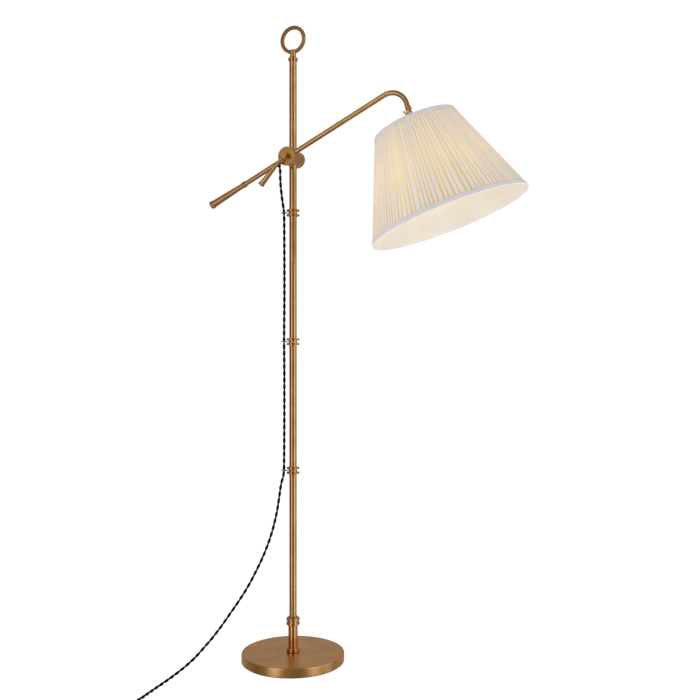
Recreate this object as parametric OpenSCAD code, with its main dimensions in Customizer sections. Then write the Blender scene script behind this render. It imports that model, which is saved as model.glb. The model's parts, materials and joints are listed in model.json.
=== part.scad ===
// Bridge floor lamp: a round weighted base, a jointed column, a counterweighted
// arm on a lever-locked hub, and a pleated cone shade on a fork swivel.
// Millimetres. The origin is the centre of the base on the floor, +Z is up,
// the arm reaches along +X and the lever faces -Y.

/* [Base] */
// Diameter of the base
base_d = 275; // [220:1:320]
// Height of the base with its felt
base_h = 26; // [22:1:34]
// Thickness of the spun brass cover
cover_wall = 1.5; // [1:0.1:2]
// Bevel round the top edge of the base
base_bevel = 3; // [1:0.5:5]
// Thickness of the felt pad
felt_h = 3.5; // [1:0.5:4]
// Radius of the threaded stud that holds the base to the column
stud_r = 5; // [4:0.5:6]

/* [Column] */
// Outer diameter of the column
column_d = 20; // [18:0.5:21]
// Outer diameter of the thicker tube at the foot
foot_tube_d = 25.5; // [23:0.5:26]
// Wall of every column tube
tube_wall = 1.5; // [1:0.25:2]
// Height of the foot tube above the base
foot_tube_h = 77; // [60:1:120]
// Diameter of the rings on the foot collar and the lower coupling
collar_d = 35; // [32:0.5:38]
// Height of the foot collar
collar_h = 10; // [8:0.5:14]
// Height of the lowest cord clip above the floor
clip_z = 511; // [440:1:560]
// Distance from one cord clip to the next
clip_pitch = 345; // [320:1:355]
// Height of the top of the column tube
column_top = 1608; // [1500:1:1700]

/* [Cord clips] */
// Diameter of the two discs of a clip
clip_d = 35; // [32:0.5:40]
// Thickness of one clip disc
clip_disc_h = 5.4; // [4:0.2:8]
// Width of the groove between the discs
clip_groove = 7.4; // [5:0.2:8]
// Diameter of the wire of the cord eyes
loop_wire_d = 3; // [2.5:0.1:4]

/* [Finial] */
// Outer diameter of the ring on top
finial_d = 75; // [60:1:90]
// Width of the ring's flat face
finial_face_w = 9.8; // [8:0.2:12]
// Thickness of the ring
finial_thick = 6.4; // [5:0.2:8]
// Diameter of the flange under the ring
finial_flange_d = 26; // [24:0.5:30]
// Diameter of the post that holds the ring
finial_post_d = 16.5; // [15:0.5:20]
// Turn of the ring out of the plane of the arm
finial_turn = 0; // [-90:1:90]

/* [Hub] */
// Height of the tilt axis above the floor
pivot_z = 1347; // [1280:1:1420]
// Diameter of the drum that holds the arm
arm_hub_d = 45; // [40:0.5:48]
// Width of the drum that holds the arm
arm_hub_w = 19.5; // [19.5:0.5:26]
// Distance from the column axis to the joint face of the hub
joint_face = 15; // [14:0.5:18]
// Distance from the column axis to the back of the hub
hub_back = 28.5; // [20:0.5:36]
// Diameter of the disc in front of the arm
front_plate_d = 50.5; // [48:0.5:56]
// Thickness of that disc
front_plate_h = 3; // [2:0.5:5]
// Radius of the clamping bolt
bolt_r = 4; // [3:0.5:4.5]
// Diameter of the lever's boss
knob_d = 19; // [17:0.5:24]
// Length of the lever's boss
knob_h = 18.5; // [15:0.5:24]
// Reach of the lever from the tilt axis
lever_len = 102; // [70:1:120]
// Angle of the lever below the horizontal
lever_drop = 46.5; // [0:0.5:90]

/* [Arm] */
// Outer diameter of the arm
arm_d = 13; // [12:0.5:14]
// Wall of the arm's tubes
arm_wall = 1.5; // [1:0.25:2]
// Rise of the arm above the horizontal
arm_rise = 25.3; // [10:0.1:40]
// Straight length of the arm from the tilt axis to the bend
arm_reach = 304.5; // [240:1:380]
// Radius of the bend
bend_r = 45; // [35:1:60]
// Angle of the bend
bend_angle = 95.2; // [91:0.1:110]
// Straight length past the bend
nose_len = 19.8; // [18:0.2:40]
// Distance from the tilt axis to the middle of the grip's rings
grip_start = 150; // [120:1:180]
// Length of the grip from those rings to its end
grip_len = 117; // [90:1:140]
// Diameter of the grip at its thick end
grip_d = 19.6; // [18:0.2:24]
// Distance from the tilt axis to the hole where the cord leaves the arm
cord_exit = 34; // [30:1:60]

/* [Swivel and lampholder] */
// Diameter of the flange at the end of the arm
nose_flange_d = 17; // [16.2:0.2:28]
// Distance from the end of the arm to the swivel axis
swivel_drop = 8.9; // [8.5:0.1:14]
// Tilt of the shade away from the lever side
shade_lean = 4.7; // [-10:0.1:10]
// Diameter of the lampholder
holder_d = 35; // [33:0.5:40]
// Length of the lampholder
holder_h = 54; // [48:1:70]
// Diameter of the bulb
bulb_d = 60; // [45:1:70]

/* [Shade] */
// Distance from the swivel axis to the top edge of the shade
shade_drop = 31.6; // [28:0.2:50]
// Height of the shade along its axis
shade_h = 252.8; // [200:1:300]
// Diameter at the top edge
shade_top_d = 213.8; // [180:0.2:260]
// Diameter at the bottom edge
shade_bottom_d = 413.8; // [340:0.2:460]
// Height of the bands at the top and bottom edges
band_h = 12.5; // [8:0.5:18]
// Depth of the pleated cover
pleat_depth = 2.4; // [1.5:0.1:4]
// Thickness of the stiff lining
liner_wall = 0.7; // [0.6:0.1:1.5]
// Thickness of the shade's wires
shade_wire_d = 2.4; // [2:0.1:3.5]

/* [Cord] */
// Diameter of the twisted cloth cord
cord_d = 7; // [5:0.5:7]

/* [Hidden] */

$fn = 96;

// Colours
brass = [0.72, 0.55, 0.34];
steel = [0.62, 0.62, 0.63];
iron = [0.28, 0.28, 0.29];
linen = [0.93, 0.90, 0.84];
cream = [0.96, 0.92, 0.82];
navy = [0.12, 0.13, 0.19];
black = [0.09, 0.09, 0.10];

// Clearances
run_fit = 0.05;   // shaft in a bore, on the radius
slip = 0.2;       // loose pieces side by side
hair = 0.02;      // step between a straight and a curved stretch of one rod
overlap_turn = 0.5;

// Base, worked out from the sizes above
base_r = base_d / 2;
cover_under = base_h - cover_wall;
weight_r = base_r - cover_wall - slip;
nut_h = 6;
washer_h = 1.6;
nut_recess_r = 15;
nut_top = felt_h + 2 + nut_h;
recess_top = nut_top + washer_h;

// Column
column_r = column_d / 2;
foot_tube_r = foot_tube_d / 2;
collar_r = collar_d / 2;
seat_h = 3;                        // floor of the foot collar's socket
foot_tube_z = base_h + seat_h;
foot_tube_top = base_h + foot_tube_h;
coupling_wall = 3;                 // web between the two tubes
tube_1_z = foot_tube_top + coupling_wall;
clip_h = 2 * clip_disc_h + clip_groove;
clip_heights = [clip_z, clip_z + clip_pitch, clip_z + 2 * clip_pitch];
join_stud_r = column_r - tube_wall - run_fit;
join_stud_h = 44;

// Cord eyes: a wire ring round the cord on a shank from the clip's core
loop_r = loop_wire_d / 2;
clip_core_r = column_r + 1;
loop_round_cord = cord_d / 2 + loop_r + 0.6;
shank_r = loop_r - 0.3;
cord_side = 24;                    // cord axis to column axis at the clips
cord_turn = 210;                   // direction of the cord from the column
shank_start = clip_core_r + 0.05;

// Finial
finial_flange_h = 9.5;
finial_post_z = column_top + finial_flange_h;
finial_post_h = 21;
ring_cover = 0.8;                  // post left above the ring's slot
finial_out_r = finial_d / 2;
finial_in_r = finial_out_r - finial_face_w;
ring_ease = 1;                     // bevel of the ring's edges
finial_ring_z = finial_post_z + finial_post_h + finial_in_r - ring_cover;

// Hub, along -Y from the column
washer_t = 1;
arm_inset = 12;
arm_y = joint_face + arm_inset;    // plane of the arm
plate_y = joint_face + arm_hub_w;
knob_y = plate_y + front_plate_h + washer_t;
arm_hub_r = arm_hub_d / 2;
front_plate_r = front_plate_d / 2;
knob_r = knob_d / 2;
column_hub_face = joint_face - washer_t;
hub_neck_r = 18.4;
hub_bell_r = 21.8;
bolt_head_h = 5.5;
bolt_head_y = hub_back - bolt_head_h - 1;
back_cap_h = 2.5;
lever_root_r = 3.9;
lever_end_r = 7.8;
bolt_tip_y = knob_y + knob_h - 4;

// Arm, in its own frame: X along the arm from the tilt axis
arm_r = arm_d / 2;
arm_bore_r = arm_r - arm_wall;
arm_seat = 13.5;                   // how near the tubes reach to the tilt axis
chamber_r = 13;
chamber_w = 12;
grip_ring_w = 3.6;
grip_ring_gap = 2.4;
grip_ring_r = 8.7;
grip_neck_r = 6.9;
grip_root = grip_start + grip_ring_w + grip_ring_gap / 2;
grip_end = grip_start + grip_len;
grip_cap_w = 9;
grip_socket = 16;
bush_flange_r = 5.4;
bush_reach = 4;
bush_r = 4.1;
bush_bore_r = 2.6;
bush_mouth_r = cord_d / 2 + 0.6;
bush_recess = 2.25;

// Swivel
hinge_z = nose_len + swivel_drop;
cheek_r = 6.5;
tongue_w = 4;
cheek_w = 2.5;
cheek_gap = 0.15;
fork_pin_r = 2;
screw_head_h = 1.6;
screw_head_r = 3.6;
wing_hub_r = 4.4;
wing_hub_h = 5;
wing_t = 3;
wing_root_r = 3.8;
wing_tip_r = 2.6;
wing_out = 13.8;                   // from the shade's axis to the middle of a wing's tip
wing_up = 9.8;                     // from the swivel axis to the middle of a wing's tip
bridge_z = cheek_r + 2;
bridge_h = 3.5;
stem_r = 5;
stem_end = 30;
flange_h = 3.2;
knuckle_floor = 2;                 // closes the knuckle's socket under the tube
knuckle_sleeve = 10;

// Lampholder, measured down the shade's axis from the swivel axis
holder_r = holder_d / 2;
cap_top = 20;
cap_skirt = 40;
cap_wall = 1.3;
holder_wall = 1.6;
holder_z = cap_skirt - 4;
holder_end = holder_z + holder_h;
shoulder_z = cap_skirt + 12;
shoulder_h = 2;
spider_z = shoulder_z + shoulder_h;
spider_h = 2.5;
ring_nut_h = 6;
key_z = 74;
key_stem_r = 2.5;
bulb_r = bulb_d / 2;
bulb_cap_r = 13;
bulb_neck_z = 78;
bulb_ball_z = holder_end + 8 + bulb_r;
bulb_wall = 1;

// Shade
shade_top_r = shade_top_d / 2;
shade_bottom_r = shade_bottom_d / 2;
shade_end = shade_drop + shade_h;
shade_slope = (shade_bottom_r - shade_top_r) / shade_h;
band_wall = 0.5;
cloth_gap = 0.1;
cover_in = band_wall + pleat_depth;            // outer skin of the shade to the cover's back
wire_r = shade_wire_d / 2;
wire_in = band_wall + wire_r + 0.2;
wire_edge = band_wall + wire_r + 0.1;
cover_inset = wire_edge + wire_r + 0.3;        // cover's ends stop at the wires
liner_in = max(cover_in, wire_in + 1.1 * wire_r) + 0.2;
rim_wall = liner_in + liner_wall;
spider_angles = [30, 150, 270];
notch_depth = 3;                   // below the top wire's middle

// Cord
cord_r = cord_d / 2;
cord_sides = 8;
coil_x = -140;
coil_y = -484;
coil_mid_r = 38.5;                 // middle of the turns
coil_rows = 3;                     // turns side by side
coil_layers = 2;                   // turns on each other
coil_half = coil_rows * cord_r;
coil_out_r = coil_mid_r + coil_half;
plug_r = 9.5;
plug_len = 34;
relief_len = 30;
plug_y = coil_y - coil_out_r + cord_r;         // the lead leaves the coil on a tangent
relief_x = coil_x + 27;
plug_x = relief_x + relief_len;
cord_upper_route = [[-27, -27, 1324.6], [-25.6, -27, 1321.4], [-24.2, -27, 1312],
    [-24.6, -26, 1296], [-24.7, -23.8, 1276], [-24, -20.4, 1252], [-22.7, -16.2, 1228],
    [-21.4, -13.4, 1213], [-20.8, -12.1, 1201]];
cord_lower_route = [[-20.8, -12.1, 1200.6], [-20.3, -11.8, 1170], [-20, -11.6, 1085],
    [-19.9, -11.5, 1000], [-20.2, -11.7, 930], [-20.7, -12, 856], [-20.2, -11.7, 790],
    [-20.1, -11.6, 710], [-20.2, -11.7, 630], [-20.5, -11.9, 560], [-20.8, -12, 526],
    [-21, -12.2, 508], [-22.6, -13.9, 494], [-26.8, -18.8, 470], [-32.6, -28.8, 405],
    [-41.8, -42.2, 346], [-57.4, -57, 290], [-73, -73, 246], [-88, -88, 209],
    [-103, -104, 177], [-118.6, -120.8, 147], [-133, -139.6, 118], [-146.6, -161.4, 91],
    [-159.2, -185.6, 68], [-169.8, -211.6, 48], [-180.2, -242, 32], [-190, -278, 19],
    [-196.6, -317, 10.5], [-198.8, -357, 5.5], [-196.5, -398, 3.5], [-194.6, -440, 3.5],
    [-193, -466, 3.5], [-192.6, -484, 3.5]];

// ---------- shared shapes ----------

// Disc with rounded edges, standing on z = 0
module round_disc(r, h, edge) {
    rotate_extrude() {
        square([r - edge, h]);
        translate([0, edge]) square([r, h - 2 * edge]);
        for (y = [edge, h - edge]) translate([r - edge, y]) circle(r = edge, $fn = 32);
    }
}

// Tube standing on z = 0
module tube(r, wall, h) {
    difference() {
        cylinder(r = r, h = h);
        translate([0, 0, -1]) cylinder(r = r - wall, h = h + 2);
    }
}

// Places its children on the tilt axis, +Z pointing to the lever side, z = 0 at the column axis
module on_pivot() {
    translate([0, 0, pivot_z]) rotate([90, 0, 0]) children();
}

// Arm frame: X along the arm, Z across it, in the plane of the arm
module on_arm() {
    translate([0, -arm_y, pivot_z]) rotate([0, -arm_rise, 0]) children();
}

// Rod along the arm from a to b
module along_arm(a, b, r1, r2) {
    translate([a, 0, 0]) rotate([0, 90, 0]) cylinder(r1 = r1, r2 = r2, h = b - a);
}

// End of the bend: +Z runs on down the tube
module on_nose() {
    on_arm() translate([arm_reach, 0, -bend_r]) rotate([90, 0, 0])
        rotate([0, 0, 90 - bend_angle]) translate([bend_r, 0, 0]) rotate([90, 0, 0])
        children();
}

// Swivel axis along X, shade axis running down along +Z
module on_head() {
    on_nose() translate([0, 0, hinge_z]) rotate([shade_lean, 0, 0]) children();
}

function smooth_step(p0, p1, p2, p3, t) =
    0.5 * ((2 * p1) + (p2 - p0) * t + (2 * p0 - 5 * p1 + 4 * p2 - p3) * t * t
    + (3 * p1 - p0 - 3 * p2 + p3) * t * t * t);
function unit(v) = v / norm(v);
function route_point(p, i) = p[max(0, min(len(p) - 1, i))];
// The chosen points with extra ones between them on one smooth curve
function smooth_route(p, extra) = [
    for (i = [0 : len(p) - 2], k = [0 : extra - 1])
        smooth_step(route_point(p, i - 1), p[i], p[i + 1], route_point(p, i + 2), k / extra),
    p[len(p) - 1]];
function route_dir(p, i) = unit(route_point(p, i + 1) - route_point(p, i - 1));
function side_dir(d) = unit(cross(d, abs(d[0]) < 0.9 ? [1, 0, 0] : [0, 1, 0]));

// Round tube swept along a list of points
module swept(p, r, sides) {
    n = len(p);
    rings = [for (i = [0 : n - 1]) let (d = route_dir(p, i), a = side_dir(d), b = cross(d, a))
        for (k = [0 : sides - 1])
            p[i] + r * (cos(360 * k / sides) * a + sin(360 * k / sides) * b)];
    walls = [for (i = [0 : n - 2], k = [0 : sides - 1])
        let (q = (k + 1) % sides)
        [i * sides + k, i * sides + q, (i + 1) * sides + q, (i + 1) * sides + k]];
    near_end = [for (k = [sides - 1 : -1 : 0]) k];
    far_end = [for (k = [0 : sides - 1]) (n - 1) * sides + k];
    polyhedron(points = rings, faces = concat([near_end], walls, [far_end]), convexity = 6);
}

// ---------- base ----------

module base_cover() {
    color(brass) rotate_extrude() polygon([
        [stud_r + run_fit, cover_under], [base_r - cover_wall - base_bevel / 2, cover_under],
        [base_r - cover_wall, cover_under - base_bevel / 2], [base_r - cover_wall, felt_h - 0.5],
        [base_r, felt_h - 0.5], [base_r, base_h - base_bevel], [base_r - base_bevel * 0.3,
        base_h - base_bevel * 0.3], [base_r - base_bevel, base_h], [stud_r + run_fit, base_h]]);
}

module base_weight() {
    color(iron) difference() {
        translate([0, 0, felt_h])
            cylinder(r = weight_r - base_bevel / 2, h = cover_under - felt_h);
        translate([0, 0, -1]) cylinder(r = stud_r + slip, h = base_h);
        translate([0, 0, felt_h - 1]) cylinder(r = nut_recess_r, h = recess_top - felt_h + 1);
    }
}

module base_felt() {
    color(black) cylinder(r = weight_r - base_bevel / 2 - 1, h = felt_h);
}

module base_stud() {
    color(steel) translate([0, 0, felt_h + 1])
        cylinder(r = stud_r, h = foot_tube_z + 24 - felt_h - 1);
}

module base_washer() {
    color(steel) translate([0, 0, nut_top])
        difference() {
            cylinder(r = nut_recess_r - 1, h = washer_h);
            translate([0, 0, -1]) cylinder(r = stud_r + run_fit, h = washer_h + 2);
        }
}

module base_nut() {
    color(steel) translate([0, 0, nut_top - nut_h]) difference() {
        cylinder(r = stud_r * 1.9, h = nut_h, $fn = 6);
        translate([0, 0, -1]) cylinder(r = stud_r + run_fit, h = nut_h + 2);
    }
}

// ---------- column ----------

module foot_collar() {
    color(brass) translate([0, 0, base_h]) difference() {
        union() {
            round_disc(collar_r, collar_h, 1.6);
            translate([0, 0, 1]) cylinder(r = foot_tube_r - tube_wall - run_fit, h = 22);
        }
        translate([0, 0, seat_h])
            difference() {
                cylinder(r = foot_tube_r + run_fit, h = collar_h);
                translate([0, 0, -1])
                    cylinder(r = foot_tube_r - tube_wall - run_fit, h = collar_h + 2);
            }
        translate([0, 0, -1]) cylinder(r = stud_r + run_fit, h = 30);
    }
}

module foot_tube() {
    color(brass) translate([0, 0, foot_tube_z])
        tube(foot_tube_r, tube_wall, foot_tube_top - foot_tube_z);
}

module lower_coupling() {
    ring_h = 6.4;
    ring_r = collar_r + 1;
    waist_r = collar_r - 1;
    low_ring = foot_tube_top - 5.2;
    cone_z = tube_1_z + 11;
    high_ring = cone_z - 6.7;
    color(brass) difference() {
        union() {
            translate([0, 0, low_ring]) round_disc(ring_r, ring_h, 2);
            translate([0, 0, low_ring + 1]) cylinder(r = waist_r, h = cone_z - low_ring - 2);
            translate([0, 0, high_ring]) round_disc(ring_r, ring_h, 2);
            translate([0, 0, cone_z - 1])
                cylinder(r1 = collar_r - 2, r2 = column_r + 1.2, h = 5.6);
        }
        translate([0, 0, low_ring - 1])
            cylinder(r = foot_tube_r + run_fit, h = foot_tube_top - low_ring + 1);
        translate([0, 0, tube_1_z]) cylinder(r = column_r + run_fit, h = 40);
        translate([0, 0, low_ring]) cylinder(r = join_stud_r / 2, h = 40);
    }
}

// One length of column tube between two heights
module column_length(z1, z2) {
    color(brass) translate([0, 0, z1]) tube(column_r, tube_wall, z2 - z1);
}

module column_tube_1() { column_length(tube_1_z, clip_heights[0]); }
module column_tube_2() { column_length(clip_heights[0], clip_heights[1]); }
module column_tube_3() { column_length(clip_heights[1], clip_heights[2]); }
module column_tube_4() {
    difference() {
        column_length(clip_heights[2], column_top);
        on_pivot() translate([0, 0, -column_d]) cylinder(r = bolt_r + slip, h = 2 * column_d);
    }
}

module joint_studs() {
    color(steel) for (z = clip_heights) translate([0, 0, z - join_stud_h / 2])
        tube(join_stud_r, join_stud_r / 2, join_stud_h);
}

module clip(z) {
    color(brass) translate([0, 0, z - clip_h / 2]) difference() {
        union() {
            round_disc(clip_d / 2, clip_disc_h, 2.2);
            translate([0, 0, 1]) cylinder(r = clip_core_r, h = clip_h - 2);
            translate([0, 0, clip_h - clip_disc_h]) round_disc(clip_d / 2, clip_disc_h, 2.2);
        }
        translate([0, 0, -1]) cylinder(r = column_r + run_fit, h = clip_h + 2);
    }
}

module clip_1() { clip(clip_heights[0]); }
module clip_2() { clip(clip_heights[1]); }
module clip_3() { clip(clip_heights[2]); }

// Wire eye round the cord, with a shank that is soldered to the clip's core
module cord_loop(z) {
    color(brass) translate([0, 0, z]) rotate([0, 0, cord_turn]) {
        translate([cord_side, 0, 0]) rotate_extrude()
            translate([loop_round_cord, 0]) circle(r = loop_r, $fn = 32);
        translate([shank_start, 0, 0]) rotate([0, 90, 0])
            cylinder(r = shank_r, h = cord_side - loop_round_cord - shank_start, $fn = 32);
    }
}

module cord_loop_1() { cord_loop(clip_heights[0]); }
module cord_loop_2() { cord_loop(clip_heights[1]); }
module cord_loop_3() { cord_loop(clip_heights[2]); }

// ---------- finial ----------

// Flat ring with its edges eased, and extra all round for the slot in the post
module finial_ring_shape(extra) {
    half = finial_thick / 2 + extra;
    out = finial_out_r + extra;
    in = finial_in_r - extra;
    translate([0, 0, finial_ring_z]) rotate([0, 0, finial_turn]) rotate([90, 0, 0])
        rotate_extrude() polygon([
            [in + ring_ease, -half], [out - ring_ease, -half], [out, -half + ring_ease],
            [out, half - ring_ease], [out - ring_ease, half], [in + ring_ease, half],
            [in, half - ring_ease], [in, -half + ring_ease]]);
}

module finial_post() {
    post_r = finial_post_d / 2;
    color(brass) difference() {
        union() {
            translate([0, 0, column_top - 26])
                cylinder(r = column_r - tube_wall - run_fit, h = 27);
            translate([0, 0, column_top]) round_disc(finial_flange_d / 2, finial_flange_h, 3);
            translate([0, 0, finial_post_z - 1]) cylinder(r = post_r, h = finial_post_h - 3);
            translate([0, 0, finial_post_z]) round_disc(post_r, finial_post_h, 3.5);
        }
        finial_ring_shape(run_fit);
    }
}

module finial_ring() {
    color(brass) finial_ring_shape(0);
}

// ---------- hub ----------

module column_hub() {
    color(brass) difference() {
        on_pivot() {
            translate([0, 0, column_hub_face - 4]) cylinder(r = arm_hub_r - 0.5, h = 4);
            translate([0, 0, column_hub_face - 8])
                cylinder(r1 = hub_neck_r, r2 = arm_hub_r - 1.5, h = 4.5);
            translate([0, 0, -hub_back + 3]) cylinder(r1 = hub_bell_r - 0.6, r2 = hub_neck_r,
                h = hub_back + column_hub_face - 10);
            translate([0, 0, -hub_back]) round_disc(hub_bell_r, 3.4, 1);
            translate([0, 0, -hub_back + 2]) cylinder(r = hub_neck_r, h = hub_back + 6);
        }
        translate([0, 0, pivot_z - 60]) cylinder(r = column_r + run_fit, h = 120);
        on_pivot() translate([0, 0, -hub_back - 1]) cylinder(r = bolt_r + run_fit, h = 80);
        on_pivot() translate([0, 0, -hub_back - 1]) cylinder(r = 9, h = hub_back - bolt_head_y + 1);
    }
}

module hub_back_cap() {
    color(brass) on_pivot() translate([0, 0, -hub_back - back_cap_h])
        round_disc(hub_neck_r - 1.5, back_cap_h, 1);
}

module pivot_bolt() {
    color(steel) on_pivot() {
        translate([0, 0, -bolt_head_y]) cylinder(r = bolt_r, h = bolt_head_y + bolt_tip_y);
        translate([0, 0, -bolt_head_y - bolt_head_h])
            cylinder(r = 7, h = bolt_head_h, $fn = 6);
    }
}

module friction_washer() {
    color(black) on_pivot() translate([0, 0, column_hub_face]) difference() {
        cylinder(r = arm_hub_r - 3, h = washer_t - 0.05);
        translate([0, 0, -1]) cylinder(r = bolt_r + run_fit, h = 4);
    }
}

// ---------- arm ----------

module arm_hub() {
    color(brass) difference() {
        on_pivot() translate([0, 0, joint_face]) round_disc(arm_hub_r, arm_hub_w, 1);
        on_pivot() cylinder(r = bolt_r + run_fit, h = 80);
        on_pivot() translate([0, 0, arm_y - chamber_w / 2]) cylinder(r = chamber_r, h = chamber_w);
        on_arm() along_arm(-40, 40, arm_r + run_fit, arm_r + run_fit);
    }
}

module front_plate() {
    color(brass) on_pivot() translate([0, 0, plate_y]) difference() {
        round_disc(front_plate_r, front_plate_h, 1);
        translate([0, 0, -1]) cylinder(r = bolt_r + run_fit, h = front_plate_h + 2);
    }
}

// The arm's outline with a given radius, from the hub to the end of the nose.
// The bend is a hair thinner than the straights and reaches a little into them.
module arm_path(r, start, over) {
    on_arm() along_arm(start, arm_reach, r, r);
    on_arm() translate([arm_reach, 0, -bend_r]) rotate([90, 0, 0])
        rotate([0, 0, 90 - bend_angle - overlap_turn])
        rotate_extrude(angle = bend_angle + 2 * overlap_turn)
        translate([bend_r, 0]) circle(r = r - hair, $fn = 48);
    on_nose() cylinder(r = r, h = nose_len - knuckle_floor + over);
}

module arm_tube() {
    color(brass) difference() {
        arm_path(arm_r, arm_seat, 0);
        arm_path(arm_bore_r, arm_seat - 1, 1);
    }
}

module arm_tail() {
    tail_end = grip_root + grip_socket - 1;
    color(brass) on_arm() difference() {
        along_arm(-tail_end, -arm_seat, arm_r, arm_r);
        along_arm(-tail_end - 1, -arm_seat + 1, arm_bore_r, arm_bore_r);
        translate([-cord_exit, 0, -arm_d]) cylinder(r = bush_r + run_fit, h = arm_d);
    }
}

module grip_rings() {
    color(brass) on_arm() difference() {
        union() {
            for (s = [-1, 1])
                translate([-grip_start + s * (grip_ring_w + grip_ring_gap) / 2 - grip_ring_w / 2, 0, 0])
                rotate([0, 90, 0]) round_disc(grip_ring_r, grip_ring_w, 1.4);
            along_arm(-grip_start - 3, -grip_start + 3, arm_r + 1, arm_r + 1);
        }
        along_arm(-grip_start - 20, -grip_start + 20, arm_r + run_fit, arm_r + run_fit);
    }
}

module grip_handle() {
    cap = grip_d / 2 + 1.2;
    color(brass) on_arm() difference() {
        union() {
            along_arm(-grip_end + grip_cap_w - 1, -grip_root, grip_d / 2, grip_neck_r);
            translate([-grip_end, 0, 0]) rotate([0, 90, 0]) round_disc(cap, grip_cap_w, 2);
        }
        along_arm(-grip_root - grip_socket, 0, arm_r + run_fit, arm_r + run_fit);
    }
}

module cord_bush() {
    color(black) on_arm() translate([-cord_exit, 0, 0]) difference() {
        union() {
            translate([0, 0, -arm_r - bush_reach])
                cylinder(r1 = bush_mouth_r + 0.7, r2 = bush_flange_r, h = bush_reach - 0.4);
            translate([0, 0, -arm_r - 0.5]) cylinder(r = bush_r, h = 2.2);
        }
        translate([0, 0, -arm_r - bush_reach - 1]) cylinder(r = bush_bore_r, h = 12);
        translate([0, 0, -arm_r - bush_reach - 1]) cylinder(r = bush_mouth_r, h = bush_recess + 1);
        rotate([0, 90, 0]) translate([0, 0, -10]) difference() {
            cylinder(r = arm_r + 0.02, h = 20);
            translate([0, 0, -1]) cylinder(r = arm_r - arm_wall + 0.02, h = 22);
            rotate([0, 90, 0]) translate([-10, 0, 0]) cylinder(r = bush_r, h = 12);
        }
    }
}

// Inner lead from the cord's hole round the bolt and up the arm
module arm_lead() {
    lead_r = 2.2;
    dip = bolt_r + lead_r + 0.6;
    start = [[-cord_exit, -8.3], [-cord_exit, -6], [-cord_exit + 0.7, -3.9],
        [-cord_exit + 2.3, -2.2], [-cord_exit + 4.6, -1.5], [-19, -1.3], [-13.6, -2.5],
        [-8, -dip + 1.2], [-3, -dip], [3, -dip], [8, -dip + 1.2], [13.6, -2.5], [19, -1],
        [30, 0]];
    straight = [for (k = [1 : 5]) [30 + (arm_reach - 30) * k / 5, 0]];
    bend = [for (k = [1 : 8]) let (a = 90 - bend_angle * k / 8)
        [arm_reach + bend_r * cos(a), -bend_r + bend_r * sin(a)]];
    last = bend[7];
    nose = [last + (nose_len - 4) * [sin(90 - bend_angle), -cos(90 - bend_angle)]];
    route = [for (q = concat(start, straight, bend, nose)) [q[0], 0, q[1]]];
    color(black) on_arm() swept(route, lead_r, 8);
}

module arm_knuckle() {
    color(brass) on_nose() difference() {
        union() {
            translate([0, 0, nose_len - knuckle_sleeve]) cylinder(r = arm_r + 0.9, h = knuckle_sleeve);
            translate([0, 0, nose_len - flange_h]) round_disc(nose_flange_d / 2, flange_h, 1);
            translate([-tongue_w / 2, -cheek_r, nose_len - 1]) cube([tongue_w, 2 * cheek_r,
                swivel_drop + 1]);
            translate([-tongue_w / 2, 0, hinge_z]) rotate([0, 90, 0])
                cylinder(r = cheek_r, h = tongue_w);
        }
        translate([0, 0, nose_len - knuckle_sleeve - 1])
            cylinder(r = arm_r + run_fit, h = knuckle_sleeve + 1 - knuckle_floor);
        translate([-20, 0, hinge_z]) rotate([0, 90, 0]) cylinder(r = fork_pin_r + run_fit, h = 40);
        translate([0, 0, nose_len - flange_h]) cylinder(r = 1.8, h = 30);
    }
}

// ---------- lever ----------

module lever_washer() {
    color(steel) on_pivot() translate([0, 0, plate_y + front_plate_h]) difference() {
        cylinder(r = knob_r - 1, h = washer_t - 0.05);
        translate([0, 0, -1]) cylinder(r = bolt_r + run_fit, h = 4);
    }
}

module on_lever() {
    on_pivot() translate([0, 0, knob_y + knob_h * 0.62]) rotate([0, 0, 180 + lever_drop])
        rotate([0, 90, 0]) children();
}

module lever_knob() {
    color(brass) difference() {
        on_pivot() translate([0, 0, knob_y]) round_disc(knob_r, knob_h, 1.2);
        on_pivot() translate([0, 0, knob_y - 1]) cylinder(r = bolt_r + run_fit, h = knob_h - 2);
        on_lever() translate([0, 0, knob_r - 4]) cylinder(r = 2.55, h = 10);
    }
}

module lever_handle() {
    cap_h = 5;
    color(brass) on_lever() {
        translate([0, 0, knob_r - 3.8]) cylinder(r = 2.5, h = 5);
        translate([0, 0, knob_r + 0.3])
            cylinder(r1 = lever_root_r, r2 = lever_end_r, h = lever_len - cap_h - knob_r);
        translate([0, 0, lever_len - cap_h]) round_disc(lever_end_r + 0.8, cap_h, 1.2);
    }
}

// ---------- swivel and lampholder ----------

module fork() {
    cheek_x = tongue_w / 2 + cheek_gap;
    color(brass) on_head() difference() {
        union() {
            for (s = [-1, 1]) translate([s * (cheek_x + cheek_w / 2) - cheek_w / 2, 0, 0]) {
                rotate([0, 90, 0]) cylinder(r = cheek_r, h = cheek_w);
                translate([0, -cheek_r, 0]) cube([cheek_w, 2 * cheek_r, bridge_z + 1]);
            }
            translate([-cheek_x - cheek_w, -cheek_r, bridge_z])
                cube([2 * (cheek_x + cheek_w), 2 * cheek_r, bridge_h]);
            translate([0, 0, bridge_z + 1]) cylinder(r = stem_r, h = stem_end - bridge_z - 1);
        }
        translate([-20, 0, 0]) rotate([0, 90, 0]) cylinder(r = fork_pin_r + run_fit, h = 40);
        translate([0, 0, bridge_z - 1]) cylinder(r = 3, h = 40);
    }
}

module wing_end(x, z, r) {
    translate([x, wing_t / 2, z]) rotate([90, 0, 0]) cylinder(r = r, h = wing_t, $fn = 32);
}

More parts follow.
